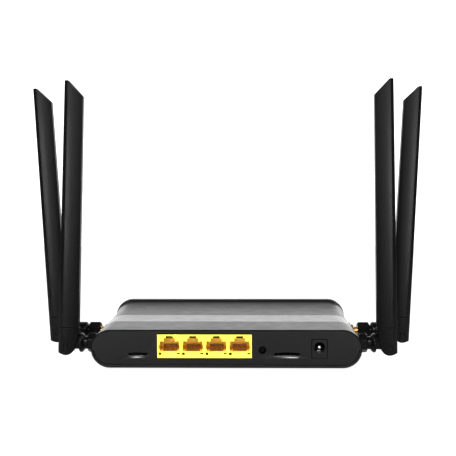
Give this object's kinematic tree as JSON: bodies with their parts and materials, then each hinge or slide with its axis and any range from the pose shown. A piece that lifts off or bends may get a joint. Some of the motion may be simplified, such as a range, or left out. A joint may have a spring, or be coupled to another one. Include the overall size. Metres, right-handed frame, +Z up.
{
  "type": "wireless router",
  "caption": "Desktop wireless router with a rounded black casing, a row of yellow network sockets at the back, power jack, card slots and folding side antennas.",
  "frame": {"origin": "middle of the bounding box, in the plane the rubber feet stand on", "axes": "+X to the right seen from the socket side, +Y from the rear socket panel towards the front, +Z up"},
  "size_m": [0.2577, 0.1052, 0.1749],
  "materials": {
    "satin_black": "satin, very fine texture",
    "antenna_black": "satin, moulded, a little glossier on the turned parts",
    "gloss_black": "polished",
    "smoked_window": "polished dark window",
    "rubber": "matt",
    "steel": "satin",
    "board_green": "solder mask",
    "yellow_plastic": "satin moulded plastic",
    "gold": "plated",
    "part_black": "satin",
    "aluminium": "satin",
    "clear_plastic": "clear moulded rods",
    "lead_black": "thin jacket"
  },
  "bodies": {
    "casing": {"bottom_cover": "satin_black", "top_cover": "satin_black", "top_trim_strip": "gloss_black", "rear_panel": "satin_black", "front_panel": "smoked_window", "rubber_feet": "rubber", "cover_screws": "steel", "circuit_board": "board_green", "board_screws": "steel", "lan_port_housing": "yellow_plastic", "lan_contacts": "gold", "lan_inserts": "part_black", "lan_transformers": "part_black", "power_jack": "part_black", "power_jack_contacts": "steel", "reset_switch": "steel", "sim_socket": "part_black", "card_socket": "part_black", "processor": "part_black", "heat_sink": "aluminium", "memory_chips": "part_black", "modem_card": "board_green", "modem_socket": "part_black", "modem_screws": "steel", "power_coils": "part_black", "capacitors": "aluminium", "status_leds": "clear_plastic", "light_pipes": "clear_plastic", "antenna_jacks": "gold", "jack_nuts": "gold", "antenna_leads": "lead_black"},
    "reset_button": {"reset_button": "part_black"},
    "rear_left_nut": {"rear_left_coupling_nut": "antenna_black"},
    "rear_left_swivel": {"rear_left_swivel_base": "antenna_black", "rear_left_connector_core": "gold"},
    "rear_left_antenna": {"rear_left_hinge_pin": "steel", "rear_left_antenna_base": "antenna_black", "rear_left_antenna_sleeve": "antenna_black", "rear_left_radiator": "gold"},
    "rear_right_nut": {"rear_right_coupling_nut": "antenna_black"},
    "rear_right_swivel": {"rear_right_swivel_base": "antenna_black", "rear_right_connector_core": "gold"},
    "rear_right_antenna": {"rear_right_hinge_pin": "steel", "rear_right_antenna_base": "antenna_black", "rear_right_antenna_sleeve": "antenna_black", "rear_right_radiator": "gold"},
    "front_left_nut": {"front_left_coupling_nut": "antenna_black"},
    "front_left_swivel": {"front_left_swivel_base": "antenna_black", "front_left_connector_core": "gold"},
    "front_left_antenna": {"front_left_hinge_pin": "steel", "front_left_antenna_base": "antenna_black", "front_left_antenna_sleeve": "antenna_black", "front_left_radiator": "gold"},
    "front_right_nut": {"front_right_coupling_nut": "antenna_black"},
    "front_right_swivel": {"front_right_swivel_base": "antenna_black", "front_right_connector_core": "gold"},
    "front_right_antenna": {"front_right_hinge_pin": "steel", "front_right_antenna_base": "antenna_black", "front_right_antenna_sleeve": "antenna_black", "front_right_radiator": "gold"}
  },
  "joints": [
    {"name": "reset_press", "type": "slide", "parent": "casing", "child": "reset_button", "axis": [0, 1, 0], "range_m": [0, 0.0004], "stiffness_N_per_m": 500},
    {"name": "rear_left_nut_spin", "type": "hinge", "parent": "casing", "child": "rear_left_nut", "pos_m": [-0.084, -0.0276, 0.01175], "axis": [1, 0, 0], "continuous": true},
    {"name": "rear_left_swivel", "type": "hinge", "parent": "casing", "child": "rear_left_swivel", "pos_m": [-0.09, -0.0276, 0.01175], "axis": [1, 0, 0], "range_deg": [-60, 90]},
    {"name": "rear_left_fold", "type": "hinge", "parent": "rear_left_swivel", "child": "rear_left_antenna", "pos_m": [-0.1006, -0.0276, 0.00985], "axis": [0, -1, 0], "range_deg": [-0.5, 92]},
    {"name": "rear_right_nut_spin", "type": "hinge", "parent": "casing", "child": "rear_right_nut", "pos_m": [0.084, -0.0276, 0.01175], "axis": [1, 0, 0], "continuous": true},
    {"name": "rear_right_swivel", "type": "hinge", "parent": "casing", "child": "rear_right_swivel", "pos_m": [0.09, -0.0276, 0.01175], "axis": [1, 0, 0], "range_deg": [-60, 90]},
    {"name": "rear_right_fold", "type": "hinge", "parent": "rear_right_swivel", "child": "rear_right_antenna", "pos_m": [0.1006, -0.0276, 0.00985], "axis": [0, 1, 0], "range_deg": [-1.4, 91.1]},
    {"name": "front_left_nut_spin", "type": "hinge", "parent": "casing", "child": "front_left_nut", "pos_m": [-0.09, 0.0142, 0.01175], "axis": [1, 0, 0], "continuous": true},
    {"name": "front_left_swivel", "type": "hinge", "parent": "casing", "child": "front_left_swivel", "pos_m": [-0.096, 0.0142, 0.01175], "axis": [1, 0, 0], "range_deg": [-90, 90]},
    {"name": "front_left_fold", "type": "hinge", "parent": "front_left_swivel", "child": "front_left_antenna", "pos_m": [-0.1156, 0.0142, 0.00985], "axis": [0, -1, 0], "range_deg": [-3.3, 86.7]},
    {"name": "front_right_nut_spin", "type": "hinge", "parent": "casing", "child": "front_right_nut", "pos_m": [0.09, 0.0142, 0.01175], "axis": [1, 0, 0], "continuous": true},
    {"name": "front_right_swivel", "type": "hinge", "parent": "casing", "child": "front_right_swivel", "pos_m": [0.096, 0.0142, 0.01175], "axis": [1, 0, 0], "range_deg": [-90, 90]},
    {"name": "front_right_fold", "type": "hinge", "parent": "front_right_swivel", "child": "front_right_antenna", "pos_m": [0.1156, 0.0142, 0.00985], "axis": [0, 1, 0], "range_deg": [-2.7, 87.3]}
  ]
}
